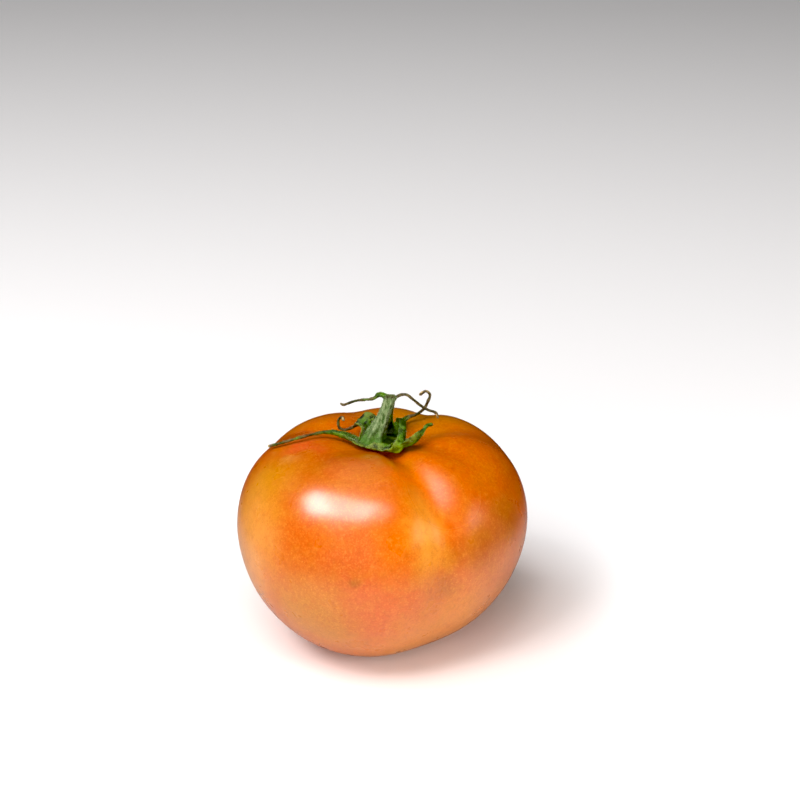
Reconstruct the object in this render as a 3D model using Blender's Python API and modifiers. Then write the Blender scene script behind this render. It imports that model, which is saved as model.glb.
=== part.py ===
"""A salad tomato as picked, with its calyx and its stub of stem.

Metres, +Z up. The origin is the middle of the flat spot that the fruit rests on. The stem end is up, and -Y is the
front, where the deepest furrow is.
"""

import math

import bmesh
import bpy
from mathutils import Matrix, Vector

MM = 0.001
UP = Vector((0.0, 0.0, 1.0))

# The skin is a distance from the fruit's heart. It changes with the angle down from the stem end and the angle round.
MEAN_RADIUS = 35.6 * MM
TOP_HEAVY = 3.7 * MM
FLATTENING = 4.3 * MM
TAPER = 1.3 * MM
SHOULDER = 0.8 * MM
DIMPLE_DEPTH = 4.9 * MM
DIMPLE_ANGLE = math.radians(24)
OVAL = 0.030
OVAL_TURN = math.radians(41)
THREE_SIDED = 0.021
THREE_SIDED_TURN = math.radians(21)

# Each furrow between two lobes: the way it faces, its depth, the angle down where it is deepest, how fast it fades.
FURROWS = (
    (math.radians(-62), 3.2 * MM, math.radians(36), 1.1),
    (math.radians(-22), 0.6 * MM, math.radians(26), 2.0),
    (math.radians(18), 1.2 * MM, math.radians(28), 2.0),
    (math.radians(62), 1.8 * MM, math.radians(30), 1.8),
    (math.radians(108), 1.1 * MM, math.radians(28), 2.0),
    (math.radians(158), 1.5 * MM, math.radians(28), 2.0),
    (math.radians(-140), 0.6 * MM, math.radians(26), 2.0),
)
FURROW_WIDTH = 2.0 * MM
FURROW_SPREAD = 0.12

FLAT_CUT = 0.45 * MM
FRUIT_SEGMENTS = 64
FRUIT_RINGS = 36

# The receptacle is the low green button that the sepals and the stem grow from. It is fullest this far above its base.
SKIN_GAP = 0.3 * MM
RECEPTACLE_RADIUS = 5.0 * MM
RECEPTACLE_BELOW = 1.6 * MM
RECEPTACLE_ABOVE = 1.7 * MM

# A sepal leaves the receptacle flat, and is folded along its midrib by this share of its length.
SEPAL_THICKNESS = 0.8 * MM
SEPAL_ALONG = 22
SEPAL_ACROSS = 4
FOLDED_FROM = 0.04
FOLDED_BY = 0.3

# Each sepal's midrib: points of reach out from the seat, the way round, and lift above the skin, in millimetres and
# degrees. Then its width at the root, its width where it has dried to a thread, the share of its length at which it
# starts and ends narrowing, the angle of its fold, and its twist from root to tip.
SEPALS = {
    "left_long": (
        ((2.2, 206, 1.8), (5.6, 196, 1.3), (9.5, 186, 1.3), (15.1, 181, 1.5), (22.3, 185, 1.2), (27.0, 182, 1.1),
         (31.0, 176, 1.4)),
        (6.6, 1.3), (0.12, 0.50), 24, (0, 30),
    ),
    "left_curl": (
        ((2.2, 150, 1.8), (4.0, 140, 3.4), (5.6, 142, 5.0), (8.2, 149, 3.4), (11.0, 152, 1.5), (12.8, 154, 1.8),
         (13.3, 152, 3.6), (12.2, 150, 4.7), (11.4, 151, 3.7)),
        (9.0, 1.1), (0.24, 0.50), 26, (0, 60),
    ),
    "back_arch_left": (
        ((2.4, 105, 1.8), (4.2, 92, 3.6), (5.0, 80, 7.8), (5.2, 74, 12.0), (5.2, 92, 13.0), (6.2, 110, 11.4),
         (9.6, 135, 9.0), (12.3, 146, 7.6), (13.4, 148, 8.4)),
        (5.2, 1.1), (0.10, 0.72), 30, (0, 100),
    ),
    "back_arch_right": (
        ((2.4, 68, 1.8), (6.0, 66, 4.4), (6.8, 62, 8.8), (7.2, 56, 11.6), (8.8, 44, 11.6), (10.5, 35, 9.6),
         (12.4, 30, 7.3), (14.3, 25, 5.9), (16.0, 22, 5.2), (16.8, 22, 3.0)),
        (4.6, 1.1), (0.08, 0.40), 30, (0, -60),
    ),
    "back_low": (
        ((2.4, 38, 1.8), (6.6, 56, 1.4), (11.5, 62, 1.2), (15.0, 60, 1.6), (15.6, 52, 2.0), (16.4, 45, 3.2),
         (17.0, 41, 5.4), (17.6, 40, 7.6), (16.6, 43, 8.8), (15.2, 48, 7.8)),
        (4.4, 1.1), (0.20, 0.55), 26, (0, 50),
    ),
    "right_hook": (
        ((2.4, -26, 1.7), (6.0, -36, 1.7), (9.2, -39, 1.8), (11.2, -34, 2.4), (12.0, -24, 3.8), (12.8, -12, 5.0),
         (14.2, -4, 4.2)),
        (7.2, 1.8), (0.55, 0.82), 30, (0, -10),
    ),
    "front_strap": (
        ((2.4, -62, 2.3), (5.4, -60, 2.3), (8.3, -56, 2.1), (9.2, -50, 3.3), (8.4, -43, 5.4), (7.5, -32, 7.0),
         (6.4, -14, 7.8), (5.7, 6, 7.4), (5.9, 22, 5.8)),
        (6.6, 3.4), (0.36, 0.60), 26, (0, -30),
    ),
}

STEM_GAP = 0.4 * MM
STEM_FOOT_LIFT = SKIN_GAP + RECEPTACLE_BELOW + RECEPTACLE_ABOVE + STEM_GAP
STEM_FOOT_LEFT = -1.0 * MM
STEM_RISE = 10.9 * MM
STEM_LEAN = Vector((3.7, 0.6, 0.0)) * MM
STEM_FOOT_RADIUS = 2.7 * MM
STEM_RADIUS = 1.5 * MM
STEM_KNUCKLE_RADIUS = 1.65 * MM
STEM_POINTS = 12
# The shares of the stem's height over which the foot's flare ends, and over which the knuckle begins.
STEM_FLARES = (-0.1, 0.6)
STEM_THICKENS = (0.8, 0.95)


def lobing(polar, azimuth):
    """How far the fruit is from round, as a share of its radius, at this height and this way round."""
    oval = OVAL * math.cos(2 * (azimuth - OVAL_TURN))
    three_sided = THREE_SIDED * math.cos(3 * (azimuth - THREE_SIDED_TURN))
    return math.sin(polar) ** 2 * (oval + three_sided)


def furrow_depth(polar, azimuth, radius):
    """How deep the furrows between the lobes are here."""
    depth = 0.0
    width = FURROW_WIDTH + FURROW_SPREAD * radius * polar
    for facing, deepest, at_polar, fading in FURROWS:
        turn = azimuth - facing
        ahead = max(0.0, math.cos(turn)) ** 2
        across = radius * math.sin(polar) * math.sin(turn)
        down = polar / at_polar
        depth += deepest * (down * math.exp(1 - down)) ** fading * math.exp(-((across / width) ** 2)) * ahead
    return depth


def skin_radius(polar, azimuth):
    """The distance from the fruit's heart to its skin."""
    radius = (
        MEAN_RADIUS
        + TOP_HEAVY * math.cos(polar)
        - FLATTENING * math.cos(2 * polar)
        - TAPER * math.cos(3 * polar)
        - SHOULDER * math.cos(4 * polar)
    )
    dimple = DIMPLE_DEPTH * math.exp(-((polar / DIMPLE_ANGLE) ** 2))
    return radius * (1 + lobing(polar, azimuth)) - dimple - furrow_depth(polar, azimuth, radius)


HEART = Vector((0.0, 0.0, skin_radius(math.pi, 0.0) - FLAT_CUT))
SEAT_HEIGHT = HEART.z + skin_radius(0.0, 0.0)


def skin_point(polar, azimuth):
    around = Vector((math.cos(azimuth), math.sin(azimuth), 0.0))
    return HEART + skin_radius(polar, azimuth) * (math.sin(polar) * around + math.cos(polar) * UP)


def above_skin(reach, azimuth, lift):
    """A point this far from the fruit's axis, this way round, and this high above the upper skin."""
    nearer, further = 0.0, math.radians(80)
    for _ in range(30):
        polar = (nearer + further) / 2
        if skin_radius(polar, azimuth) * math.sin(polar) < reach:
            nearer = polar
        else:
            further = polar
    return skin_point(nearer, azimuth) + lift * UP


def smooth_step(start, end, value):
    share = min(1.0, max(0.0, (value - start) / (end - start)))
    return share * share * (3 - 2 * share)


def spline_point(points, share):
    """A point on the smooth curve through these points, at this share of the way along."""
    place = share * (len(points) - 1)
    index = min(int(place), len(points) - 2)
    t = place - index
    before = points[max(index - 1, 0)]
    start, end = points[index], points[index + 1]
    after = points[min(index + 2, len(points) - 1)]
    return 0.5 * (
        2 * start
        + (end - before) * t
        + (2 * before - 5 * start + 4 * end - after) * t**2
        + (3 * start - before - 3 * end + after) * t**3
    )


def even_points(points, count):
    """This many points along the smooth curve, the same distance apart."""
    fine = [spline_point(points, i / 400) for i in range(401)]
    run = [0.0]
    for one, two in zip(fine, fine[1:]):
        run.append(run[-1] + (two - one).length)
    made, at = [], 0
    for i in range(count):
        wanted = run[-1] * i / (count - 1)
        while at < len(run) - 2 and run[at + 1] < wanted:
            at += 1
        step = run[at + 1] - run[at]
        made.append(fine[at].lerp(fine[at + 1], min(1.0, (wanted - run[at]) / step)))
    return made


def blade_frames(midrib, first_normal):
    """Each midrib point with the blade's side and face directions there, carried along with no needless turn."""
    frames, normal = [], first_normal
    for i, point in enumerate(midrib):
        tangent = (midrib[min(i + 1, len(midrib) - 1)] - midrib[max(i - 1, 0)]).normalized()
        normal = (normal - tangent * normal.dot(tangent)).normalized()
        frames.append((point, tangent, tangent.cross(normal), normal))
    return frames


def new_object(name, data, collection, material=None):
    """An object for this mesh or curve."""
    made = bpy.data.objects.new(name, data)
    collection.objects.link(made)
    if material:
        data.materials.append(material)
    return made


def mesh_from(bm, name):
    mesh = bpy.data.meshes.new(name)
    bm.to_mesh(mesh)
    bm.free()
    return mesh


def plant_material(name, colour, roughness):
    made = bpy.data.materials.new(name)
    made.use_nodes = True
    shader = made.node_tree.nodes["Principled BSDF"]
    shader.inputs["Base Color"].default_value = (*colour, 1.0)
    shader.inputs["Roughness"].default_value = roughness
    shader.inputs["Metallic"].default_value = 0.0
    return made


def make_fruit(collection, material):
    """One solid fruit: a sphere drawn out to the skin, and cut flat where it rests."""
    bm = bmesh.new()
    bmesh.ops.create_uvsphere(bm, u_segments=FRUIT_SEGMENTS, v_segments=FRUIT_RINGS, radius=1.0)
    for vertex in bm.verts:
        polar = math.acos(max(-1.0, min(1.0, vertex.co.z)))
        azimuth = math.atan2(vertex.co.y, vertex.co.x)
        vertex.co = skin_point(polar, azimuth)
    everything = bm.verts[:] + bm.edges[:] + bm.faces[:]
    cut = bmesh.ops.bisect_plane(bm, geom=everything, plane_co=(0, 0, 0), plane_no=-UP, clear_outer=True)
    rim = [edge for edge in cut["geom_cut"] if isinstance(edge, bmesh.types.BMEdge)]
    bmesh.ops.contextual_create(bm, geom=rim)
    bmesh.ops.recalc_face_normals(bm, faces=bm.faces)
    fruit = new_object("fruit", mesh_from(bm, "fruit"), collection, material)
    fruit.data.shade_smooth()
    fruit.data.set_sharp_from_angle(angle=math.radians(40))
    return fruit


def make_sepal(name, collection):
    """One sepal: a blade folded along its midrib, which dries to a curling thread."""
    route, (root_width, thread_width), (narrows_from, narrows_to), fold, (turn_start, turn_end) = SEPALS[name]
    points = [above_skin(reach * MM, math.radians(round_), lift * MM) for reach, round_, lift in route]
    outward = (points[1] - points[0]).normalized()
    frames = blade_frames(even_points(points, SEPAL_ALONG + 1), UP - outward * 0.5)
    bm = bmesh.new()
    bmesh.ops.create_grid(bm, x_segments=SEPAL_ACROSS, y_segments=SEPAL_ALONG, size=1.0)
    for vertex in bm.verts:
        across, along = vertex.co.x, (vertex.co.y + 1) / 2
        point, tangent, side, normal = frames[round(along * SEPAL_ALONG)]
        narrowing = smooth_step(narrows_from, narrows_to, along)
        half_width = (root_width + (thread_width - root_width) * narrowing) / 2 * MM
        turn = Matrix.Rotation(math.radians(turn_start + (turn_end - turn_start) * along), 3, tangent)
        folded = math.radians(fold) * smooth_step(FOLDED_FROM, FOLDED_BY, along)
        reach = side * across * math.cos(folded) + normal * abs(across) * math.sin(folded)
        vertex.co = point + turn @ reach * half_width
    sepal = new_object("sepal_" + name, mesh_from(bm, name), collection)
    shell = sepal.modifiers.new("thickness", "SOLIDIFY")
    shell.thickness = SEPAL_THICKNESS
    shell.offset = 0.0
    return sepal


def make_calyx(collection, material):
    """The receptacle with its sepals grown together in one body."""
    bm = bmesh.new()
    bmesh.ops.create_uvsphere(bm, u_segments=24, v_segments=12, radius=1.0)
    for vertex in bm.verts:
        rise = RECEPTACLE_ABOVE if vertex.co.z > 0 else RECEPTACLE_BELOW
        fullest = SEAT_HEIGHT + SKIN_GAP + RECEPTACLE_BELOW
        vertex.co.xy *= RECEPTACLE_RADIUS
        vertex.co.z = fullest + vertex.co.z * rise
    calyx = new_object("calyx", mesh_from(bm, "calyx"), collection, material)
    blades = bpy.data.collections.new("sepals")
    bpy.context.scene.collection.children.link(blades)
    for name in SEPALS:
        make_sepal(name, blades)
    union = calyx.modifiers.new("sepals", "BOOLEAN")
    union.operation = "UNION"
    union.operand_type = "COLLECTION"
    union.collection = blades
    union.solver = "MANIFOLD"
    bpy.context.view_layer.update()
    graph = bpy.context.evaluated_depsgraph_get()
    joined = bpy.data.meshes.new_from_object(calyx.evaluated_get(graph))
    calyx.modifiers.clear()
    calyx.data = joined
    calyx.data.materials.clear()
    calyx.data.materials.append(material)
    for sepal in list(blades.objects):
        bpy.data.objects.remove(sepal)
    bpy.data.collections.remove(blades)
    calyx.data.shade_smooth()
    calyx.data.set_sharp_from_angle(angle=math.radians(40))
    return calyx


def make_stem(collection, material):
    """The stub of stem: it flares at the foot, leans a little, and thickens where it snapped at the knuckle."""
    curve = bpy.data.curves.new("stem", "CURVE")
    curve.dimensions = "3D"
    curve.bevel_depth = STEM_RADIUS
    curve.bevel_resolution = 4
    curve.use_fill_caps = True
    spline = curve.splines.new("POLY")
    spline.points.add(STEM_POINTS - 1)
    foot = Vector((STEM_FOOT_LEFT, 0.0, SEAT_HEIGHT + STEM_FOOT_LIFT))
    for i, point in enumerate(spline.points):
        share = i / (STEM_POINTS - 1)
        upright_foot = 1 / (STEM_POINTS - 1)
        leaning = max(0.0, (share - upright_foot) / (1 - upright_foot))
        place = foot + STEM_LEAN * leaning + STEM_RISE * share * UP
        point.co = (*place, 1.0)
        flare = (STEM_FOOT_RADIUS / STEM_RADIUS - 1) * (1 - smooth_step(*STEM_FLARES, share))
        knuckle = (STEM_KNUCKLE_RADIUS / STEM_RADIUS - 1) * smooth_step(*STEM_THICKENS, share)
        point.radius = 1 + flare + knuckle
    return new_object("stem", curve, collection, material)


def main():
    for old in list(bpy.data.objects):
        bpy.data.objects.remove(old)
    tomato = bpy.data.collections.new("salad_tomato")
    bpy.context.scene.collection.children.link(tomato)
    make_fruit(tomato, plant_material("tomato_skin", (0.80, 0.19, 0.02), 0.25))
    make_calyx(tomato, plant_material("sepal_green", (0.10, 0.20, 0.04), 0.75))
    make_stem(tomato, plant_material("stem_green", (0.22, 0.32, 0.12), 0.75))


main()
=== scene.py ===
"""The looks of a salad tomato: its waxy skin, its calyx of drying sepals, and its downy stub of stem."""

import math
import random

import bmesh
import bpy
from mathutils import Euler, Matrix, Vector, kdtree, noise


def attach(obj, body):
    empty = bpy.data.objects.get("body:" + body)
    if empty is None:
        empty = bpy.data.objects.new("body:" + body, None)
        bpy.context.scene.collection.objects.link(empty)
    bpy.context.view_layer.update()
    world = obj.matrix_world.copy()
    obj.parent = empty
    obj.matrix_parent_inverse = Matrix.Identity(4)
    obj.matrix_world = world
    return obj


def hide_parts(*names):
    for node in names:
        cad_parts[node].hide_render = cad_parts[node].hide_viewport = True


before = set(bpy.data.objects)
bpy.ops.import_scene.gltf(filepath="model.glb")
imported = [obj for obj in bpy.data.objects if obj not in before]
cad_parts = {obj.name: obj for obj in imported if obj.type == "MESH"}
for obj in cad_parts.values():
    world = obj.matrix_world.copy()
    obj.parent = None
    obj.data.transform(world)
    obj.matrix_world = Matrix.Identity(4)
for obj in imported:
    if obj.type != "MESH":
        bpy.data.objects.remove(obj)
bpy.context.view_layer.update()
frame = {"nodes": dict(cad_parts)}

MM = 0.001
UP = Vector((0.0, 0.0, 1.0))

# The camera stands half a metre in front of the fruit and a little to its right. A long lens looks down on
# the fruit, so that the hollow round the calyx and the front of the fruit both show.
CAMERA_PLACE = Vector((5.2, -494.2, 279.5)) * MM
CAMERA_DIP = math.radians(23)
LENS_LENGTH = 90.0
SENSOR_WIDTH = 36.0

lens = bpy.data.cameras.new("camera")
lens.lens = LENS_LENGTH
lens.sensor_width = SENSOR_WIDTH
camera = bpy.data.objects.new("camera", lens)
camera.location = CAMERA_PLACE
camera.rotation_euler = Euler((math.radians(90) - CAMERA_DIP, 0.0, 0.0))
bpy.context.scene.collection.objects.link(camera)
bpy.context.scene.camera = camera

# The stage is a white table top with painted pink bounce light round the fruit, and dark walls. A long
# softbox hangs overhead to the left and a weaker one to the right. The window shows in mirror images alone,
# and the front lamp and the two fills in light and shadow alone.
FLOOR_SIZE = 6.0
FLOOR_ROUGHNESS = 0.7
FLOOR_PAINTED_BOUNCE = (0.94, 0.88, 0.86)
FLOOR_FAR = (0.97, 0.96, 0.96)
FLOOR_WHITENS = (42 * MM, 84 * MM)
FLOOR_MIRRORED = (0.42, 0.02)
FLOOR_FADES = (60 * MM, 170 * MM)
WALL_COLOUR = (0.9, 0.95, 1.0)
WALL_BRIGHTNESS = 0.05
BLACK_LEVEL = (0.010, 0.012, 0.016)
FRUIT_HEART = Vector((0.0, 0.0, 27.6)) * MM

# Each lamp: its place from the fruit's heart, the way its long side runs, its two sides in metres, its
# brightness, its colour, and the rays that don't see it.
LAMPS = {
    "key_left": ((-0.40, -0.30, 0.96), (0.87, -0.49, 0.0), (1.05, 0.52), 5.2, (1.0, 0.99, 1.0), None),
    "window": ((-0.63, -0.11, 0.77), (0.0, 1.0, 0.0), (0.50, 0.32), 6.6, (1.0, 0.99, 1.0), "diffuse"),
    "lamp_front": ((-0.50, -0.55, 0.82), (0.74, -0.67, 0.0), (0.32, 0.32), 14.5, (1.0, 0.98, 0.97), "glossy"),
    "key_right": ((0.04, -0.44, 1.0), (0.87, -0.49, 0.0), (0.55, 0.45), 2.2, (1.0, 0.96, 0.94), None),
    "side": ((0.90, -0.16, 0.30), (0.0, 1.0, 0.0), (0.45, 0.30), 0.9, (1.0, 0.95, 0.88), None),
    "front_fill": ((-0.30, -1.0, 0.42), (1.0, 0.0, 0.0), (1.0, 0.8), 3.7, (1.0, 0.98, 0.96), "glossy"),
    "right_fill": ((1.0, -0.45, 0.30), (0.0, 1.0, 0.0), (0.5, 0.3), 10.0, (1.0, 0.98, 0.96), "glossy"),
}


def plain_material(name, colour, roughness):
    made = bpy.data.materials.new(name)
    made.use_nodes = True
    shader = made.node_tree.nodes["Principled BSDF"]
    shader.inputs["Base Color"].default_value = (*colour, 1.0)
    shader.inputs["Roughness"].default_value = roughness
    return made


def softbox(name, place, long_side, size, brightness, colour):
    """A rectangular light aimed at the fruit, with its first side along long_side."""
    light = bpy.data.lights.new(name, "AREA")
    light.shape = "RECTANGLE"
    light.size, light.size_y = size
    light.energy = brightness * math.pi * size[0] * size[1]
    light.color = colour
    back = place.normalized()
    side = (long_side - back * long_side.dot(back)).normalized()
    turn = Matrix((side, back.cross(side), back)).transposed().to_4x4()
    lamp = bpy.data.objects.new(name, light)
    lamp.matrix_world = Matrix.Translation(FRUIT_HEART + place) @ turn
    bpy.context.scene.collection.objects.link(lamp)
    return lamp


def add_node(tree, kind, feeds=(), **settings):
    """A shader node with these settings, and with each named input set to a value or linked to a socket."""
    made = tree.nodes.new("ShaderNode" + kind)
    for name, value in settings.items():
        setattr(made, name, value)
    for name, value in dict(feeds).items():
        if isinstance(value, bpy.types.NodeSocket):
            tree.links.new(value, made.inputs[name])
        else:
            made.inputs[name].default_value = value
    return made


def spread(tree, value, start, end, low=0.0, high=1.0, course="SMOOTHSTEP"):
    """The value's run from start to end, spread over the run from low to high."""
    feeds = {"Value": value, "From Min": start, "From Max": end, "To Min": low, "To Max": high}
    return add_node(tree, "MapRange", feeds, interpolation_type=course).outputs["Result"]


def tint(tree, mask, under, over, strength=None):
    """The under colour, covered by the over colour as far as the mask and any strength say."""
    if strength is not None:
        mask = add_node(tree, "Math", {0: mask, 1: strength}, operation="MULTIPLY").outputs["Value"]
    feeds = {"Factor": mask}
    for name, colour in (("A", under), ("B", over)):
        feeds[name] = colour if isinstance(colour, bpy.types.NodeSocket) else (*colour, 1.0)
    return add_node(tree, "Mix", feeds, data_type="RGBA").outputs["Result"]


def floor_material():
    """A white sheet. In the skin's mirror image it is dimmer than to the eye, and fades with distance."""
    made = plain_material("table_top", FLOOR_FAR, FLOOR_ROUGHNESS)
    tree = made.node_tree
    shader = tree.nodes["Principled BSDF"]
    place = add_node(tree, "TexCoord").outputs["Object"]
    away = add_node(tree, "VectorMath", {0: place}, operation="LENGTH").outputs["Value"]
    # Painted bounce light: near the fruit the floor is tinted pink, as by light off the fruit, and turns
    # white further out.
    seen = tint(tree, spread(tree, away, *FLOOR_WHITENS), FLOOR_PAINTED_BOUNCE, FLOOR_FAR)
    mirrored = spread(tree, away, *FLOOR_FADES, *FLOOR_MIRRORED)
    mirror_ray = add_node(tree, "LightPath").outputs["Is Glossy Ray"]
    tree.links.new(tint(tree, mirror_ray, seen, mirrored), shader.inputs["Base Color"])
    shader.inputs["Specular IOR Level"].default_value = 0.0
    return made


bm = bmesh.new()
bmesh.ops.create_grid(bm, x_segments=1, y_segments=1, size=FLOOR_SIZE / 2)
floor_mesh = bpy.data.meshes.new("floor")
bm.to_mesh(floor_mesh)
bm.free()
floor = bpy.data.objects.new("floor", floor_mesh)
floor_mesh.materials.append(floor_material())
bpy.context.scene.collection.objects.link(floor)

for name, (place, long_side, size, brightness, colour, unseen_by) in LAMPS.items():
    lamp = softbox(name, Vector(place), Vector(long_side), size, brightness, colour)
    lamp.visible_diffuse = unseen_by != "diffuse"
    lamp.visible_glossy = unseen_by != "glossy"

walls = bpy.data.worlds.new("walls")
walls.use_nodes = True
walls.node_tree.nodes["Background"].inputs["Color"].default_value = (*WALL_COLOUR, 1.0)
walls.node_tree.nodes["Background"].inputs["Strength"].default_value = WALL_BRIGHTNESS
bpy.context.scene.world = walls
grading = bpy.context.scene.view_settings
grading.view_transform = "Standard"
grading.use_curve_mapping = True
grading.curve_mapping.black_level = BLACK_LEVEL

# The fruit is one berry. Its skin is a smooth ball drawn out into soft lobes, with a hollow at the stem
# end, and it stands on a small flat spot. The skin is thin, waxy and half ripe: orange, with olive, red and
# tan patches.
MEAN_RADIUS = 35.6 * MM
TOP_HEAVY = 3.7 * MM
FLATTENING = 4.3 * MM
TAPER = 1.3 * MM
SHOULDER = 0.8 * MM
DIMPLE_DEPTH = 4.9 * MM
DIMPLE_ANGLE = math.radians(24)
OVAL = 0.030
OVAL_TURN = math.radians(41)
THREE_SIDED = 0.021
THREE_SIDED_TURN = math.radians(21)
# Each furrow: the way round that it faces, its greatest depth and the angle down from the stem end where it
# has it, and how fast it fades from there.
FURROWS = (
    (math.radians(-62), 3.2 * MM, math.radians(36), 1.1),
    (math.radians(-22), 0.6 * MM, math.radians(26), 2.0),
    (math.radians(18), 1.2 * MM, math.radians(28), 2.0),
    (math.radians(62), 1.8 * MM, math.radians(30), 1.8),
    (math.radians(108), 1.1 * MM, math.radians(28), 2.0),
    (math.radians(158), 1.5 * MM, math.radians(28), 2.0),
    (math.radians(-140), 0.6 * MM, math.radians(26), 2.0),
)
FURROW_WIDTH = 2.0 * MM
FURROW_SPREAD = 0.12
FLAT_CUT = 0.45 * MM
SKIN_SEGMENTS = 256
SKIN_RINGS = 150


def lobing(polar, azimuth):
    oval = OVAL * math.cos(2 * (azimuth - OVAL_TURN))
    three_sided = THREE_SIDED * math.cos(3 * (azimuth - THREE_SIDED_TURN))
    return math.sin(polar) ** 2 * (oval + three_sided)


def furrow_depth(polar, azimuth, radius):
    depth = 0.0
    width = FURROW_WIDTH + FURROW_SPREAD * radius * polar
    for facing, deepest, at_polar, fading in FURROWS:
        turn = azimuth - facing
        ahead = max(0.0, math.cos(turn)) ** 2
        across = radius * math.sin(polar) * math.sin(turn)
        down = polar / at_polar
        depth += deepest * (down * math.exp(1 - down)) ** fading * math.exp(-((across / width) ** 2)) * ahead
    return depth


def skin_radius(polar, azimuth):
    """The distance from the fruit's heart to its skin."""
    radius = (
        MEAN_RADIUS
        + TOP_HEAVY * math.cos(polar)
        - FLATTENING * math.cos(2 * polar)
        - TAPER * math.cos(3 * polar)
        - SHOULDER * math.cos(4 * polar)
    )
    dimple = DIMPLE_DEPTH * math.exp(-((polar / DIMPLE_ANGLE) ** 2))
    return radius * (1 + lobing(polar, azimuth)) - dimple - furrow_depth(polar, azimuth, radius)


HEART = Vector((0.0, 0.0, skin_radius(math.pi, 0.0) - FLAT_CUT))
SEAT_HEIGHT = HEART.z + skin_radius(0.0, 0.0)


def skin_point(polar, azimuth):
    around = Vector((math.cos(azimuth), math.sin(azimuth), 0.0))
    return HEART + skin_radius(polar, azimuth) * (math.sin(polar) * around + math.cos(polar) * UP)


def new_piece(name, bm, material):
    """A finished mesh as an object at the origin, smooth, riding on the part's one body."""
    mesh = bpy.data.meshes.new(name)
    bm.to_mesh(mesh)
    bm.free()
    mesh.shade_smooth()
    piece = bpy.data.objects.new(name, mesh)
    mesh.materials.append(material)
    bpy.context.scene.collection.objects.link(piece)
    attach(piece, "root")
    return piece


def effect_group(name, vectors, floats):
    """An empty group for an effect that several materials share. It puts out one mask."""
    group = bpy.data.node_groups.new(name, "ShaderNodeTree")
    for kind, sockets in (("NodeSocketVector", vectors), ("NodeSocketFloat", floats)):
        for socket in sockets:
            group.interface.new_socket(name=socket, in_out="INPUT", socket_type=kind)
    group.interface.new_socket(name="Mask", in_out="OUTPUT", socket_type="NodeSocketFloat")
    return group, group.nodes.new("NodeGroupInput").outputs, group.nodes.new("NodeGroupOutput").inputs


def soft_patch_group():
    """A round patch of colour: its mask is 1 in the middle and fades out over the edge."""
    group, given, out = effect_group("soft_patch", ("Position", "Centre"), ("Size", "Edge", "Strength"))
    away = add_node(group, "VectorMath", {0: given["Position"], 1: given["Centre"]}, operation="DISTANCE")
    inner = add_node(group, "Math", {0: given["Size"], 1: given["Edge"]}, operation="SUBTRACT")
    outer = add_node(group, "Math", {0: given["Size"], 1: given["Edge"]}, operation="ADD")
    edges = (inner.outputs["Value"], outer.outputs["Value"])
    fade = spread(group, away.outputs["Value"], *edges, given["Strength"], 0.0)
    group.links.new(fade, out["Mask"])
    return group


def mottle_group():
    """Cloudy unevenness: its mask goes from 0 to 1 as the noise goes from low to high."""
    group, given, out = effect_group("mottle", ("Position",), ("Scale", "Detail", "Low", "High"))
    feeds = {"Vector": given["Position"], "Scale": given["Scale"], "Detail": given["Detail"]}
    cloud = add_node(group, "TexNoise", feeds).outputs["Fac"]
    group.links.new(spread(group, cloud, given["Low"], given["High"]), out["Mask"])
    return group


SOFT_PATCH = soft_patch_group()
MOTTLE = mottle_group()


def mottle(tree, position, size, low, high, detail=3.0):
    """The mask of clouds of about this size, in metres."""
    feeds = {"Position": position, "Scale": 1 / size, "Detail": detail, "Low": low, "High": high}
    return add_node(tree, "Group", feeds, node_tree=MOTTLE).outputs["Mask"]


def patch(tree, position, polar, azimuth, size, edge, strength):
    """The mask of a soft round patch at this place on the skin."""
    feeds = {
        "Position": position,
        "Centre": skin_point(math.radians(polar), math.radians(azimuth)),
        "Size": size,
        "Edge": edge,
        "Strength": strength,
    }
    return add_node(tree, "Group", feeds, node_tree=SOFT_PATCH).outputs["Mask"]


def shift(tree, operation, feeds):
    return add_node(tree, "VectorMath", feeds, operation=operation).outputs["Vector"]


def grain(tree, position, size, detail):
    """Plain noise with lumps of about this size, in metres."""
    feeds = {"Vector": position, "Scale": 1 / size, "Detail": detail}
    return add_node(tree, "TexNoise", feeds).outputs["Fac"]


def bump(tree, height, distance, normal=None):
    """A Bump node's normal, for relief of this depth in metres."""
    feeds = {"Height": height, "Distance": distance}
    if normal:
        feeds["Normal"] = normal
    return add_node(tree, "Bump", feeds).outputs["Normal"]


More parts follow.
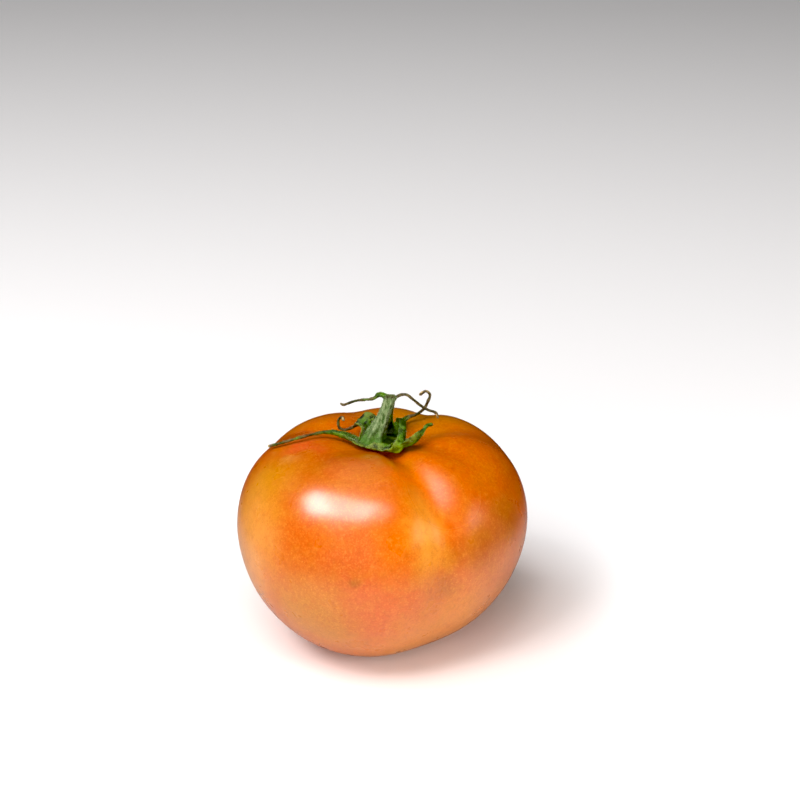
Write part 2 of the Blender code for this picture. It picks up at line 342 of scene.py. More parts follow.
# The colour of each part of the skin: the angle down from the stem end, the way round, the patch's radius
# and its soft edge in millimetres, how far it covers, and its colour. They lie over one another in this
# order.
ORANGE = (0.58, 0.108, 0.001)
DEEP_ORANGE = (0.56, 0.090, 0.002)
RED_ORANGE = (0.48, 0.078, 0.004)
YELLOW_OLIVE = (0.50, 0.190, 0.001)
OLIVE_TAN = (0.45, 0.175, 0.016)
PALE_TAN = (0.70, 0.300, 0.060)
PAINTED_REFLECTION_YELLOW = (0.84, 0.330, 0.030)
PINK = (0.56, 0.095, 0.020)
PALE_PINK = (0.60, 0.160, 0.040)
BROWN_ORANGE = (0.39, 0.085, 0.001)
GREEN_BROWN = (0.21, 0.070, 0.004)
PAINTED_LIGHT_ORANGE = (0.80, 0.150, 0.001)
PINK_RED = (0.72, 0.085, 0.020)
PURE_ORANGE = (0.60, 0.112, 0.001)
SKIN_PATCHES = (
    (36, -148, 9, 7, 0.8, RED_ORANGE),
    (34, -171, 3.5, 3, 0.7, PINK_RED),
    (28, -162, 2.5, 2.5, 0.6, PINK_RED),
    (55, -152, 10, 8, 0.9, YELLOW_OLIVE),
    (39, -156, 1.8, 2.5, 0.6, PALE_TAN),
    (80, -160, 15, 9, 0.7, PALE_TAN),
    (74, -139, 8, 8, 0.7, PALE_TAN),
    (66, -112, 17, 12, 0.7, RED_ORANGE),
    (92, -88, 15, 10, 0.8, PINK),
    (99, -116, 12, 8, 0.8, OLIVE_TAN),
    (71, -80, 9, 7, 0.9, PURE_ORANGE),
    (88, -30, 15, 9, 0.8, PALE_PINK),
    # Painted reflection: a faint pink patch on the right lobe for a low light from the right.
    (63, -46, 4, 4, 0.5, PALE_PINK),
    # Painted light: a brighter orange on the left wall of the front furrow, which faces away from the key
    # lamp.
    (40, -67, 5, 4, 1.0, PAINTED_LIGHT_ORANGE),
    # Painted highlight: a pale pink glow round the top of the key highlight.
    (39, -104, 8, 7, 0.7, PALE_PINK),
    # Painted reflection: this pale yellow stripe left of the front furrow stands in for part of a soft
    # reflection of a low light on the right; the side lamp gives the rest.
    (56, -71, 4.5, 5, 0.75, PAINTED_REFLECTION_YELLOW),
    (64, -70, 4.5, 5, 0.85, PAINTED_REFLECTION_YELLOW),
    (73, -68, 4, 5, 0.7, PAINTED_REFLECTION_YELLOW),
    (75, -44, 6, 5, 0.7, BROWN_ORANGE),
    (68, -24, 6, 5, 0.8, BROWN_ORANGE),
    (58, -8, 5, 4, 0.3, BROWN_ORANGE),
    (74, -57, 3, 4, 0.6, BROWN_ORANGE),
    (86, -62, 2.6, 4, 0.5, GREEN_BROWN),
    (77, -103, 1.6, 1.4, 0.6, GREEN_BROWN),
    (40, 60, 14, 9, 0.8, YELLOW_OLIVE),
    (72, 35, 17, 11, 0.6, DEEP_ORANGE),
    (84, 95, 15, 10, 0.7, PINK),
    (58, 128, 14, 10, 0.8, YELLOW_OLIVE),
    (100, 150, 14, 9, 0.8, OLIVE_TAN),
    (105, 20, 14, 9, 0.7, PALE_TAN),
    (130, -60, 22, 12, 0.5, PALE_TAN),
    (135, 100, 24, 12, 0.5, OLIVE_TAN),
)

# The skin's finish: clouds that turn one orange into the other, the wander of the patches' edges, wide
# flecks, fine light and dark grain, pale specks that gather in places, and the sheen, peel and pores of the
# wax.
CLOUD_SIZE = 26 * MM
WANDER_SIZE = 17 * MM
WANDER_REACH = 14 * MM
FLECKS = ((5 * MM, 0.42, 0.70, 0.22, YELLOW_OLIVE), (2.4 * MM, 0.45, 0.75, 0.25, RED_ORANGE))
GRAINS = ((0.5 * MM, 0.20), (1.3 * MM, 0.12))
LIGHT_GRAIN = (0.85, 0.34, 0.05)
DARK_GRAIN = (0.26, 0.035, 0.001)
SPECK_SPACING = 0.75 * MM
SPECK_EDGE = (0.10, 0.28)
SPECK_STRENGTH = 0.35
SPECK_COLOUR = (0.78, 0.34, 0.05)
SPECKLED_SIZE = 14 * MM
SHEEN_SIZE = 6 * MM
SHEEN_ROUGHNESS = (0.27, 0.34)
PEEL_SIZE = 2.2 * MM
PEEL_DEPTH = 0.010 * MM
PORE_SIZE = 0.5 * MM
PORE_DEPTH = 0.0015 * MM
COAT_ROUGHNESS = 0.25

# The right shoulder is duller than the rest: its angle down and way round, its radius and soft edge, and
# how much rougher the skin and the coat of wax are there.
DULL_PLACE = (47, -52)
DULL_SIZE = 5 * MM
DULL_EDGE = 9 * MM
DULL_SKIN = 0.20
DULL_COAT = 0.25


def skin_material():
    """Half ripe tomato skin: soft patches from olive to red, pale specks, and a satin coat of natural wax."""
    made = plain_material("waxy_skin", ORANGE, 0.30)
    tree = made.node_tree
    shader = tree.nodes["Principled BSDF"]
    place = add_node(tree, "TexCoord").outputs["Object"]
    feeds = {"Vector": place, "Scale": 1 / WANDER_SIZE, "Detail": 3.0}
    clouds = add_node(tree, "TexNoise", feeds).outputs["Color"]
    centred = shift(tree, "SUBTRACT", {0: clouds, 1: (0.5, 0.5, 0.5)})
    wander = shift(tree, "SCALE", {0: centred, "Scale": WANDER_REACH})
    wavy = shift(tree, "ADD", {0: place, 1: wander})
    colour = tint(tree, mottle(tree, place, CLOUD_SIZE, 0.35, 0.65), DEEP_ORANGE, ORANGE)
    for polar, azimuth, size, edge, strength, hue in SKIN_PATCHES:
        mask = patch(tree, wavy, polar, azimuth, size * MM, edge * MM, strength)
        colour = tint(tree, mask, colour, hue)
    for size, low, high, strength, hue in FLECKS:
        colour = tint(tree, mottle(tree, place, size, low, high), colour, hue, strength)
    for size, strength in GRAINS:
        light_grain = mottle(tree, place, size, 0.48, 0.72, 2.0)
        dark_grain = mottle(tree, place, size * 1.1, 0.52, 0.30, 2.0)
        colour = tint(tree, light_grain, colour, LIGHT_GRAIN, strength)
        colour = tint(tree, dark_grain, colour, DARK_GRAIN, strength)
    dots = add_node(tree, "TexVoronoi", {"Vector": place, "Scale": 1 / SPECK_SPACING}).outputs["Distance"]
    speck = spread(tree, dots, *SPECK_EDGE, SPECK_STRENGTH, 0.0, "LINEAR")
    colour = tint(tree, speck, colour, SPECK_COLOUR, mottle(tree, wavy, SPECKLED_SIZE, 0.42, 0.62))
    tree.links.new(colour, shader.inputs["Base Color"])
    sheen = spread(tree, mottle(tree, place, SHEEN_SIZE, 0.3, 0.7), 0.0, 1.0, *SHEEN_ROUGHNESS, "LINEAR")
    dull = patch(tree, place, *DULL_PLACE, DULL_SIZE, DULL_EDGE, 1.0)
    rises = (("Roughness", sheen, DULL_SKIN), ("Coat Roughness", COAT_ROUGHNESS, DULL_COAT))
    for socket, start, rise in rises:
        more = add_node(tree, "Math", {0: dull, 1: rise, 2: start}, operation="MULTIPLY_ADD").outputs["Value"]
        tree.links.new(more, shader.inputs[socket])
    pores = bump(tree, grain(tree, place, PORE_SIZE, 2.0), PORE_DEPTH)
    relief = bump(tree, grain(tree, place, PEEL_SIZE, 2.0), PEEL_DEPTH, pores)
    tree.links.new(relief, shader.inputs["Normal"])
    shader.inputs["Specular IOR Level"].default_value = 0.25
    shader.inputs["Coat Weight"].default_value = 0.60
    shader.inputs["Coat IOR"].default_value = 2.0
    return made


# Up close the skin is not quite even: it has low lumps, fine creases that run out from the seat of the
# calyx, and the corky scar of the flower in a small recess underneath.
LUMP_HEIGHT = 0.12 * MM
LUMP_SIZE = 12 * MM
LUMPS_FROM = (12 * MM, 20 * MM)
CREASE_DEPTH = 0.09 * MM
CREASES_ROUND = 9
CREASES_DOWN = 1.5
CREASES_START = (0.10, 0.2)
CREASES_END = (0.5, 0.9)
SCAR_FROM = math.radians(150)
SCAR_RADIUS = 3.8 * MM
SCAR_WAVER = 0.18
SCAR_WAVER_SIZE = 2.2 * MM
SCAR_INNER = 0.55
SCAR_RECESS = 0.7 * MM
SCAR_GRIT = 0.10 * MM
SCAR_GRIT_SIZE = 0.8 * MM
SCAR_NUB = 0.45 * MM
SCAR_NUB_RADIUS = 0.9 * MM


def smooth_step(start, end, value):
    share = min(1.0, max(0.0, (value - start) / (end - start)))
    return share * share * (3 - 2 * share)


bm = bmesh.new()
bmesh.ops.create_uvsphere(bm, u_segments=SKIN_SEGMENTS, v_segments=SKIN_RINGS, radius=1.0)
for vertex in bm.verts:
    polar = math.acos(max(-1.0, min(1.0, vertex.co.z)))
    azimuth = math.atan2(vertex.co.y, vertex.co.x)
    place = skin_point(polar, azimuth)
    outward = (place - HEART).normalized()
    lumps = noise.noise(place / LUMP_SIZE) * LUMP_HEIGHT * smooth_step(*LUMPS_FROM, place.z)
    round_way = (math.cos(azimuth) * CREASES_ROUND, math.sin(azimuth) * CREASES_ROUND, polar * CREASES_DOWN)
    fan = noise.noise(Vector(round_way))
    creases = abs(fan) * CREASE_DEPTH * smooth_step(*CREASES_START, polar)
    creases *= 1 - smooth_step(*CREASES_END, polar)
    place += outward * (lumps - creases)
    place.z = max(place.z, 0.0)
    if polar > SCAR_FROM:
        reach = place.xy.length
        waver = noise.noise(Vector((place.x, place.y, 0.0)) / SCAR_WAVER_SIZE)
        ragged = SCAR_RADIUS * (1 + SCAR_WAVER * waver)
        grit = SCAR_GRIT * noise.noise(place / SCAR_GRIT_SIZE)
        inside = 1 - smooth_step(ragged * SCAR_INNER, ragged, reach)
        nub = SCAR_NUB * math.exp(-((reach / SCAR_NUB_RADIUS) ** 2))
        place.z += inside * (SCAR_RECESS + grit) - nub
    vertex.co = place
fruit = new_piece("skin", bm, skin_material())
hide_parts("fruit")

# The calyx is the flower's green star. A low button of tissue sits in the hollow of the fruit, and its
# sepals have dried from the tips in: soft and green at the root, then folded, then curled to brown threads
# with pale ends.
SKIN_GAP = 0.3 * MM
RECEPTACLE_RADIUS = 5.0 * MM
RECEPTACLE_BELOW = 1.6 * MM
RECEPTACLE_ABOVE = 1.7 * MM
BLADE_THICKNESS = 0.62 * MM
BLADE_ALONG = 130
BLADE_AROUND = 28
CALYX_VOXEL = 0.14 * MM

# A blade folds up between these shares of its length. Where it has dried to a thread no wider than these
# widths, in millimetres, it rolls up by this angle. Its edges wave by this share of its width, and ripple
# by this many millimetres from these shares of its length on.
FOLDED = (0.04, 0.3)
ROLL = math.radians(38)
ROLLED_WIDTHS = (1.6, 3.0)
RIM_BLUNTNESS = 0.6
MIDRIB_ROUNDING = 0.15
EDGE_WAVE = 0.16
RIPPLE = 0.5
RIPPLED = (0.03, 0.12)

# Each sepal's midrib: points of reach out from the seat, the way round, and lift above the skin, in
# millimetres and degrees. Then its width at the root, its width where it has dried to a thread, the share
# of its length at which it starts and ends narrowing, the angle of its fold, and its twist from root to
# tip.
SEPALS = {
    "left_long": (
        ((2.2, 206, 1.8), (5.6, 196, 1.3), (9.5, 186, 1.3), (15.1, 181, 1.5), (22.3, 185, 1.2),
         (27.0, 182, 1.1), (31.0, 176, 1.4)),
        (6.6, 1.3), (0.12, 0.50), 24, (0, 30),
    ),
    "left_curl": (
        ((2.2, 150, 1.8), (4.0, 140, 3.4), (5.6, 142, 5.0), (8.2, 149, 3.4), (11.0, 152, 1.5),
         (12.8, 154, 1.8), (13.3, 152, 3.6), (12.2, 150, 4.7), (11.4, 151, 3.7)),
        (9.0, 1.1), (0.24, 0.50), 26, (0, 60),
    ),
    "back_arch_left": (
        ((2.4, 105, 1.8), (4.2, 92, 3.6), (5.0, 80, 7.8), (5.2, 74, 12.0), (5.2, 92, 13.0), (6.2, 110, 11.4),
         (9.6, 135, 9.0), (12.3, 146, 7.6), (13.4, 148, 8.4)),
        (5.2, 1.1), (0.10, 0.72), 30, (0, 100),
    ),
    "back_arch_right": (
        ((2.4, 68, 1.8), (6.0, 66, 4.4), (6.8, 62, 8.8), (7.2, 56, 11.6), (8.8, 44, 11.6), (10.5, 35, 9.6),
         (12.4, 30, 7.3), (14.3, 25, 5.9), (16.0, 22, 5.2), (16.8, 22, 3.0)),
        (4.6, 1.1), (0.08, 0.40), 30, (0, -60),
    ),
    "back_low": (
        ((2.4, 38, 1.8), (6.6, 56, 1.4), (11.5, 62, 1.2), (15.0, 60, 1.6), (15.6, 52, 2.0), (16.4, 45, 3.2),
         (17.0, 41, 5.4), (17.6, 40, 7.6), (16.6, 43, 8.8), (15.2, 48, 7.8)),
        (4.4, 1.1), (0.20, 0.55), 26, (0, 50),
    ),
    "right_hook": (
        ((2.4, -26, 1.7), (6.0, -36, 1.7), (9.2, -39, 1.8), (11.2, -34, 2.4), (12.0, -24, 3.8),
         (12.8, -12, 5.0), (14.2, -4, 4.2)),
        (7.2, 1.8), (0.55, 0.82), 30, (0, -10),
    ),
    "front_strap": (
        ((2.4, -62, 2.3), (5.4, -60, 2.3), (8.3, -56, 2.1), (9.2, -50, 3.3), (8.4, -43, 5.4), (7.5, -32, 7.0),
         (6.4, -14, 7.8), (5.7, 6, 7.4), (5.9, 22, 5.8)),
        (6.6, 3.4), (0.36, 0.60), 26, (0, -30),
    ),
}

# How dry each sepal is along the part that has narrowed: 1 is brown, and less than a half stays green.
SEPAL_DRYNESS = {
    "left_long": 0.80,
    "left_curl": 0.95,
    "back_arch_left": 0.85,
    "back_arch_right": 1.0,
    "back_low": 1.0,
    "right_hook": 0.55,
    "front_strap": 0.40,
}

# How the tissue is wrinkled: the size and depth of its folds and of its fine ridges, the depths in
# millimetres, and how far from the seat the wrinkles ease off.
FOLD_SIZE = 1.5 * MM
FOLD_DEPTH = 0.16
RIDGE_SIZE = 0.55 * MM
RIDGE_DEPTH = 0.07
WRINKLES_EASE = (3 * MM, 9 * MM)

# Where the calyx has painted shade: between the stem's foot and the sepal in front, behind that, at the top
# of the front sepal and inside the curl on the left. Each is a place above the seat, a radius and a depth
# sunk, in millimetres, and how dark the painted shade is. Then the place and radius of the crumpled curl, and
# of the bright swelling in front.
PAINTED_SHADE_HOLLOWS = (
    ((2.0, -1.5, 2.3), 3.0, 0.5, 1.0),
    ((2.9, 2.8, 3.4), 3.2, 0.3, 1.0),
    ((5.6, -2.4, 9.0), 2.4, 0.0, 0.8),
    ((-3.9, 4.6, 6.4), 3.8, 0.2, 0.35),
)
CRUMPLED = ((-3.9, 4.6, 6.4), 5.0)
SWELLING = ((4.2, -7.4, 3.0), 2.8)
SEAT = Vector((0.0, 0.0, SEAT_HEIGHT))

# Tissue colours from fresh to dry, of the edges and the swelling, and the shade painted in folds and hollows.
LEAF_DARK = (0.018, 0.056, 0.007)
LEAF_GREEN = (0.095, 0.205, 0.014)
LEAF_FLECK = (0.19, 0.34, 0.04)
DRY_BROWN = (0.042, 0.026, 0.010)
DRY_OLIVE = (0.130, 0.096, 0.038)
STRAW = (0.52, 0.38, 0.17)
EDGE_GREEN = (0.24, 0.26, 0.05)
SWELLING_GREEN = (0.230, 0.400, 0.018)
PAINTED_SHADE_DARK = (0.006, 0.016, 0.003)


def above_skin(reach, azimuth, lift):
    """A point this far from the fruit's axis, this way round, and this high above the upper skin."""
    nearer, further = 0.0, math.radians(80)
    for _ in range(30):
        polar = (nearer + further) / 2
        if skin_radius(polar, azimuth) * math.sin(polar) < reach:
            nearer = polar
        else:
            further = polar
    return skin_point(nearer, azimuth) + lift * UP


def spline_point(points, share):
    """A point on the smooth curve through these points, at this share of the way along."""
    place = share * (len(points) - 1)
    index = min(int(place), len(points) - 2)
    t = place - index
    before = points[max(index - 1, 0)]
    start, end = points[index], points[index + 1]
    after = points[min(index + 2, len(points) - 1)]
    return 0.5 * (
        2 * start
        + (end - before) * t
        + (2 * before - 5 * start + 4 * end - after) * t**2
        + (3 * start - before - 3 * end + after) * t**3
    )


def even_points(points, count):
    """This many points along the smooth curve, the same distance apart."""
    fine = [spline_point(points, i / 400) for i in range(401)]
    run = [0.0]
    for one, two in zip(fine, fine[1:]):
        run.append(run[-1] + (two - one).length)
    made, at = [], 0
    for i in range(count):
        wanted = run[-1] * i / (count - 1)
        while at < len(run) - 2 and run[at + 1] < wanted:
            at += 1
        step = run[at + 1] - run[at]
        made.append(fine[at].lerp(fine[at + 1], min(1.0, (wanted - run[at]) / step)))
    return made


def blade_frames(midrib, first_normal):
    """Each midrib point with the blade's side and face directions, carried along with no needless turn."""
    frames, normal = [], first_normal
    for i, point in enumerate(midrib):
        tangent = (midrib[min(i + 1, len(midrib) - 1)] - midrib[max(i - 1, 0)]).normalized()
        normal = (normal - tangent * normal.dot(tangent)).normalized()
        frames.append((point, tangent, tangent.cross(normal), normal))
    return frames


def make_blade(name, seed):
    """One sepal: thickest at its midrib, folded along it, wavy at its edges, and rolled up where dry."""
    route, (root_width, thread_width), narrows, fold, (turn_start, turn_end) = SEPALS[name]
    points = [above_skin(reach * MM, math.radians(facing), lift * MM) for reach, facing, lift in route]
    outward = (points[1] - points[0]).normalized()
    frames = blade_frames(even_points(points, BLADE_ALONG + 1), UP - outward * 0.5)
    roll = ROLL * (1 - smooth_step(*ROLLED_WIDTHS, thread_width))
    blade = bmesh.new()
    bmesh.ops.create_grid(blade, x_segments=BLADE_AROUND, y_segments=BLADE_ALONG, size=1.0)
    for vertex in blade.verts:
        round_rim = math.pi * vertex.co.x
        along = (vertex.co.y + 1) / 2
        point, tangent, side, normal = frames[round(along * BLADE_ALONG)]
        across = math.cos(round_rim)
        bluntly = math.copysign(abs(math.sin(round_rim)) ** RIM_BLUNTNESS, math.sin(round_rim))
        through = bluntly * BLADE_THICKNESS / 2
        narrowing = smooth_step(*narrows, along)
        half_width = (root_width + (thread_width - root_width) * narrowing) / 2 * MM
        half_width *= 1 + EDGE_WAVE * noise.noise(Vector((along * 9, math.copysign(3.0, across), seed)))
        turn = Matrix.Rotation(math.radians(turn_start + (turn_end - turn_start) * along), 3, tangent)
        folded = math.radians(fold) * smooth_step(*FOLDED, along) + roll * narrowing * abs(across)
        bulge = math.hypot(across, MIDRIB_ROUNDING)
        reach = side * across * math.cos(folded) + normal * (bulge - MIDRIB_ROUNDING) * math.sin(folded)
        face = normal * math.cos(folded) - side * across / bulge * math.sin(folded)
        ripple = noise.noise(Vector((along * 16, across * 1.2, seed + 7)))
        crimp = normal * ripple * across * across * RIPPLE * MM
        crimp = crimp * (1 - 0.7 * narrowing) * smooth_step(*RIPPLED, along)
        closing = smooth_step(0.0, 0.01, along) * (1 - smooth_step(0.97, 1.0, along))
        vertex.co = point + turn @ (reach * half_width + face * through + crimp) * closing
    bmesh.ops.remove_doubles(blade, verts=blade.verts, dist=0.002 * MM)
    bmesh.ops.recalc_face_normals(blade, faces=blade.faces)
    mesh = bpy.data.meshes.new(name)
    blade.to_mesh(mesh)
    blade.free()
    return mesh, [frame[0] for frame in frames], narrows[1]


def drop_crumbs(bm):
    """Keeps only the largest connected skin."""
    seen, islands = set(), []
    for first in bm.verts:
        if first in seen:
            continue
        island, waiting = [], [first]
        seen.add(first)
        while waiting:
            vertex = waiting.pop()
            island.append(vertex)
            for joint in vertex.link_edges:
                other = joint.other_vert(vertex)
                if other not in seen:
                    seen.add(other)
                    waiting.append(other)
        islands.append(island)
    islands.sort(key=len)
    crumbs = [vertex for island in islands[:-1] for vertex in island]
    bmesh.ops.delete(bm, geom=crumbs, context="VERTS")


def remeshed(bm, voxel):
    """These overlapping closed shells grown together in one even skin of small faces."""
    mesh = bpy.data.meshes.new("shells")
    bm.to_mesh(mesh)
    bm.free()
    rough = bpy.data.objects.new("shells", mesh)
    bpy.context.scene.collection.objects.link(rough)
    grow = rough.modifiers.new("grow", "REMESH")
    grow.mode = "VOXEL"
    grow.voxel_size = voxel
    bpy.context.view_layer.update()
    graph = bpy.context.evaluated_depsgraph_get()
    joined = bmesh.new()
    joined.from_object(rough, graph)
    bpy.data.objects.remove(rough)
    bpy.data.meshes.remove(mesh)
    drop_crumbs(joined)
    return joined


def sepal_material():
    """Sepal tissue: fresh green with paler flecks, drying to olive and brown, with straw-coloured ends."""
    made = plain_material("sepal_tissue", (0.10, 0.20, 0.03), 0.62)
    tree = made.node_tree
    shader = tree.nodes["Principled BSDF"]
    place = add_node(tree, "TexCoord").outputs["Object"]
    dry = add_node(tree, "Attribute", attribute_name="dryness").outputs["Fac"]
    edge = add_node(tree, "Attribute", attribute_name="edge").outputs["Fac"]
    painted_shade = add_node(tree, "Attribute", attribute_name="painted_shade").outputs["Fac"]
    swollen = add_node(tree, "Attribute", attribute_name="fresh").outputs["Fac"]
    fresh = tint(tree, mottle(tree, place, 1.6 * MM, 0.35, 0.65), LEAF_DARK, LEAF_GREEN)
    fresh = tint(tree, mottle(tree, place, 0.5 * MM, 0.5, 0.75), fresh, LEAF_FLECK, 0.4)
    stale = tint(tree, mottle(tree, place, 1.3 * MM, 0.35, 0.65), DRY_BROWN, DRY_OLIVE)
    uneven = spread(tree, mottle(tree, place, 2.4 * MM, 0.3, 0.7), 0.0, 1.0, -0.16, 0.16, "LINEAR")
    drying = add_node(tree, "Math", {0: dry, 1: uneven}, operation="ADD").outputs["Value"]
    colour = tint(tree, spread(tree, drying, 0.35, 0.75), fresh, stale)
    colour = tint(tree, spread(tree, drying, 0.90, 1.02), colour, STRAW)
    colour = tint(tree, edge, colour, EDGE_GREEN, 0.45)
    colour = tint(tree, swollen, colour, SWELLING_GREEN, 0.85)
    # Painted shade: near black in the hollows, the fold troughs and the curl, as the painted_shade attribute
    # says.
    colour = tint(tree, painted_shade, colour, PAINTED_SHADE_DARK, 0.92)
    tree.links.new(colour, shader.inputs["Base Color"])
    veins = bump(tree, grain(tree, place, 0.35 * MM, 3.0), 0.10 * MM)
    tree.links.new(veins, shader.inputs["Normal"])
    shader.inputs["Specular IOR Level"].default_value = 0.35
    return made


def nearness(point, place, radius, inner):
    """1 round this place above the seat, given in millimetres, and 0 from the radius on."""
    away = (point - SEAT - Vector(place) * MM).length
    return 1 - smooth_step(radius * inner * MM, radius * MM, away)


bm = bmesh.new()
bmesh.ops.create_uvsphere(bm, u_segments=48, v_segments=24, radius=1.0)
for vertex in bm.verts:
    rise = RECEPTACLE_ABOVE if vertex.co.z > 0 else RECEPTACLE_BELOW
    vertex.co.xy *= RECEPTACLE_RADIUS
    vertex.co.z = SEAT_HEIGHT + SKIN_GAP + RECEPTACLE_BELOW + vertex.co.z * rise
midribs = []
for seed, name in enumerate(SEPALS):
    blade_mesh, midrib, dries_at = make_blade(name, seed)
    bm.from_mesh(blade_mesh)
    bpy.data.meshes.remove(blade_mesh)
    for i, point in enumerate(midrib):
        along = i / BLADE_ALONG
        drying = smooth_step(dries_at * 0.3, dries_at * 1.05, along) * 0.8 * SEPAL_DRYNESS[name]
        midribs.append((point, drying + 0.22 * smooth_step(0.88, 1.0, along)))
nearest_rib = kdtree.KDTree(len(midribs))
for i, (point, drying) in enumerate(midribs):
    nearest_rib.insert(point, i)
nearest_rib.balance()
bm = remeshed(bm, CALYX_VOXEL)
for _ in range(3):
    bmesh.ops.smooth_vert(bm, verts=bm.verts, factor=0.5, use_axis_x=True, use_axis_y=True, use_axis_z=True)
bm.normal_update()
dryness = bm.verts.layers.float.new("dryness")
edge = bm.verts.layers.float.new("edge")
painted_shade = bm.verts.layers.float.new("painted_shade")
fresh = bm.verts.layers.float.new("fresh")
moved = []
for vertex in bm.verts:
    point, index, away = nearest_rib.find(vertex.co)
    vertex[dryness] = midribs[index][1]
    vertex[edge] = smooth_step(1.2 * MM, 3.0 * MM, away)
    folds = noise.fractal(vertex.co / FOLD_SIZE, 1.0, 2.2, 4)
    ridges = noise.noise(Vector((vertex.co.x, vertex.co.y, vertex.co.z * 0.5)) / RIDGE_SIZE)
    strength = 0.70 + 0.30 * (1 - smooth_step(*WRINKLES_EASE, (vertex.co - SEAT).length))
    strength += 0.9 * nearness(vertex.co, *CRUMPLED, 0.5)
    depth = (folds * FOLD_DEPTH + ridges * RIDGE_DEPTH) * MM * strength
    # Painted shade in the troughs of the folds.
    dark = smooth_step(0.0, 0.4, -folds) * strength
    # Painted shade: each hollow darkens the tissue there, besides sinking it.
    for place, radius, sunk, painted_darkness in PAINTED_SHADE_HOLLOWS:
        hollow = nearness(vertex.co, place, radius, 0.5)
        depth -= hollow * sunk * MM
        dark = max(dark, hollow * painted_darkness)
    vertex[painted_shade] = dark
    vertex[fresh] = nearness(vertex.co, *SWELLING, 0.3)
    moved.append(vertex.co + vertex.normal * depth)
for vertex, place in zip(bm.verts, moved):
    vertex.co = place
calyx = new_piece("sepals", bm, sepal_material())
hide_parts("calyx")

# The stem is a woody green stub with shallow ribs that run down into the calyx. It snapped off at its
# knuckle, and the break is a shallow ragged cup that has dried brown.
STEM_GAP = 0.4 * MM
STEM_FOOT_LIFT = SKIN_GAP + RECEPTACLE_BELOW + RECEPTACLE_ABOVE + STEM_GAP
STEM_FOOT = Vector((-1.0 * MM, 0.0, SEAT_HEIGHT + STEM_FOOT_LIFT))
STEM_SUNK = 2.2 * MM
STEM_RISE = 10.9 * MM
STEM_UPRIGHT = STEM_RISE / 11
STEM_ROOTED_TO = 2.5 * MM
STEM_LEAN = Vector((3.7, 0.6, 0.0)) * MM
STEM_ROOT_LEAN = Vector((-1.1, -0.2, 0.0)) * MM
STEM_ROOT_RADIUS = 3.9 * MM
STEM_FOOT_RADIUS = 2.7 * MM
STEM_RADIUS = 1.5 * MM
STEM_KNUCKLE_RADIUS = 1.65 * MM
STEM_SIDES = 96
STEM_RINGS = 110
STEM_RIBS = 6
STEM_CUP_FROM = 0.86
RIB_TWIST = 1.2
RIB_WANDER = 1.5
GNARL = 0.10
GNARL_SIZE = 2.6 * MM
BARK = 0.035
BARK_SIZE = 1.4 * MM
RIM_HEIGHTS = (0.30 * MM, 0.22 * MM)
CUP_DEPTH = 0.75 * MM
PITH_HEIGHT = 0.14 * MM

# The colours of the bark, between its fibres and on them, of its ribs, its root and its mottle, and of the
# break.
BARK_DARK = (0.050, 0.105, 0.024)
BARK_PALE = (0.210, 0.275, 0.125)
RIB_PALE = (0.330, 0.390, 0.215)
ROOT_GREEN = (0.060, 0.150, 0.016)
MOTTLE_DARK = (0.030, 0.070, 0.012)
TORN_PITH = (0.060, 0.062, 0.018)


def stem_material():
    """Grey green bark with pale ribs, drying towards the break, and a dark torn pith."""
    made = plain_material("stem_bark", (0.20, 0.27, 0.11), 0.7)
    tree = made.node_tree
    shader = tree.nodes["Principled BSDF"]
    place = add_node(tree, "TexCoord").outputs["Object"]
    rib = add_node(tree, "Attribute", attribute_name="rib").outputs["Fac"]
    torn = add_node(tree, "Attribute", attribute_name="torn").outputs["Fac"]
    root = add_node(tree, "Attribute", attribute_name="root").outputs["Fac"]
    long_grain = add_node(tree, "Mapping", {"Vector": place, "Scale": (1.0, 1.0, 0.16)}).outputs["Vector"]
    colour = tint(tree, mottle(tree, long_grain, 0.36 * MM, 0.35, 0.68), BARK_DARK, BARK_PALE)
    colour = tint(tree, rib, colour, RIB_PALE, 0.35)
    colour = tint(tree, root, colour, ROOT_GREEN, 0.9)
    colour = tint(tree, mottle(tree, place, 1.1 * MM, 0.46, 0.66), colour, MOTTLE_DARK, 0.7)
    colour = tint(tree, torn, colour, TORN_PITH, 0.9)
    tree.links.new(colour, shader.inputs["Base Color"])
    relief = bump(tree, grain(tree, long_grain, 0.3 * MM, 3.0), 0.07 * MM)
    tree.links.new(relief, shader.inputs["Normal"])
    shader.inputs["Specular IOR Level"].default_value = 0.3
    return made


def stem_place(height):
    """The stem's middle at this height above its foot."""
    leaning = max(0.0, (height - STEM_UPRIGHT) / (STEM_RISE - STEM_UPRIGHT))
    rooting = 1 - smooth_step(-STEM_SUNK, STEM_ROOTED_TO, height)
    return STEM_FOOT + STEM_LEAN * leaning + STEM_ROOT_LEAN * rooting + height * UP


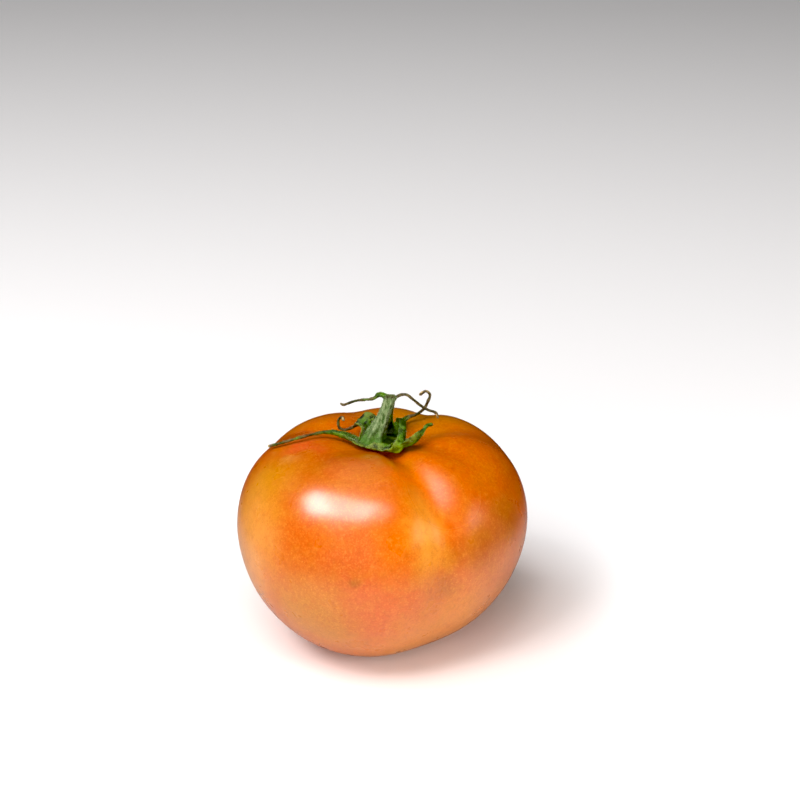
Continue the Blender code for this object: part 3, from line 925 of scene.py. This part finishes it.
bm = bmesh.new()
bmesh.ops.create_grid(bm, x_segments=STEM_SIDES, y_segments=STEM_RINGS, size=1.0)
rib = bm.verts.layers.float.new("rib")
torn = bm.verts.layers.float.new("torn")
root = bm.verts.layers.float.new("root")
for vertex in bm.verts:
    around = math.pi * (vertex.co.x + 1)
    along = (vertex.co.y + 1) / 2
    up = min(1.0, along / STEM_CUP_FROM)
    inward = max(0.0, (along - STEM_CUP_FROM) / (1 - STEM_CUP_FROM))
    height = -STEM_SUNK + (STEM_RISE + STEM_SUNK) * up
    share = height / STEM_RISE
    radius = STEM_RADIUS + (STEM_FOOT_RADIUS - STEM_RADIUS) * (1 - smooth_step(-0.1, 0.6, share))
    radius += (STEM_ROOT_RADIUS - STEM_FOOT_RADIUS) * (1 - smooth_step(-0.25, 0.1, share))
    radius += (STEM_KNUCKLE_RADIUS - STEM_RADIUS) * smooth_step(0.8, 0.95, share)
    facing = Vector((math.cos(around), math.sin(around), 0.0))
    wandering = RIB_WANDER * noise.noise(facing * 1.3 + share * UP)
    ribbing = math.cos(STEM_RIBS * around + RIB_TWIST * share + wandering)
    strength = 0.05 + 0.07 * (1 - smooth_step(0.0, 0.6, share))
    gnarl = noise.fractal(facing * 1.6 + height / GNARL_SIZE * UP, 1.0, 2.2, 4)
    bark = noise.noise(facing * 6 + height / BARK_SIZE * UP)
    radius *= 1 + strength * ribbing + GNARL * gnarl + BARK * bark
    rim = RIM_HEIGHTS[0] * noise.noise(facing * 2.4) + RIM_HEIGHTS[1] * noise.noise(facing * 7)
    pith = PITH_HEIGHT * noise.noise(facing * 3 * (1 - inward) + 5 * UP)
    cup = -CUP_DEPTH * smooth_step(0.0, 0.45, inward) + pith
    lift = rim * smooth_step(0.9, 1.0, share) * (1 - inward) + cup * smooth_step(0.0, 0.3, inward)
    vertex[rib] = smooth_step(0.1, 1.0, ribbing)
    vertex[torn] = smooth_step(0.05, 0.35, inward) + 0.5 * smooth_step(0.93, 1.0, share) * (1 - inward)
    vertex[root] = 1 - smooth_step(-0.1, 0.25, share)
    vertex.co = stem_place(height) + facing * radius * (1 - inward) + lift * UP
bmesh.ops.remove_doubles(bm, verts=bm.verts, dist=0.004 * MM)
bmesh.ops.recalc_face_normals(bm, faces=bm.faces)
stem = new_piece("stem_stub", bm, stem_material())
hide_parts("stem")

# The stem and the sepals are downy: short clear hairs stand out from them, thickest low on the stem.
STEM_HAIRS = 1300
SEPAL_HAIRS = 2600
HAIR_LENGTHS = (0.25 * MM, 0.70 * MM)
HAIR_RADIUS = 0.016 * MM
HAIR_TIP = 0.15
HAIR_SUNK = 0.03 * MM
HAIR_LEAN = 0.28
HAIR_COLOUR = (0.42, 0.50, 0.28)


def hair_material():
    made = plain_material("down", HAIR_COLOUR, 0.5)
    shader = made.node_tree.nodes["Principled BSDF"]
    shader.inputs["Transmission Weight"].default_value = 0.2
    return made


def grow_hairs(name, piece, count, wanted, seed):
    """This many tapered hairs on the piece's faces, where a draw passes what is wanted at that face."""
    draws = random.Random(seed)
    skin = piece.data
    down = bmesh.new()
    grown = 0
    while grown < count:
        face = skin.polygons[draws.randrange(len(skin.polygons))]
        if draws.random() > wanted(face):
            continue
        lean = Vector([draws.gauss(0, 1) for _ in range(3)]) * HAIR_LEAN
        direction = (face.normal + lean).normalized()
        length = draws.uniform(*HAIR_LENGTHS)
        middle = face.center + direction * (length / 2 - HAIR_SUNK)
        turn = direction.to_track_quat("Z", "Y").to_matrix().to_4x4()
        bmesh.ops.create_cone(
            down,
            cap_ends=False,
            segments=3,
            radius1=HAIR_RADIUS,
            radius2=HAIR_RADIUS * HAIR_TIP,
            depth=length,
            matrix=Matrix.Translation(middle) @ turn,
        )
        grown += 1
    hairs = new_piece(name, down, DOWN)


def on_stem(face):
    """None in the cup of the break, and none on what is sunk in the calyx."""
    height = face.center.z - STEM_FOOT.z
    return 0.0 if height < 0 or face.normal.z > 0.85 else 1.0 - 0.5 * height / STEM_RISE


def on_sepals(face):
    """Thick near the root, and few on the dried threads. None underneath, against the fruit."""
    away = (face.center - SEAT).length
    for place, radius, _, _ in PAINTED_SHADE_HOLLOWS:
        if (face.center - SEAT - Vector(place) * MM).length < radius * MM:
            return 0.0
    return 0.0 if face.normal.z < -0.3 else 1.0 - 0.85 * smooth_step(5 * MM, 14 * MM, away)


DOWN = hair_material()
grow_hairs("stem_hairs", stem, STEM_HAIRS, on_stem, 11)
grow_hairs("sepal_hairs", calyx, SEPAL_HAIRS, on_sepals, 23)
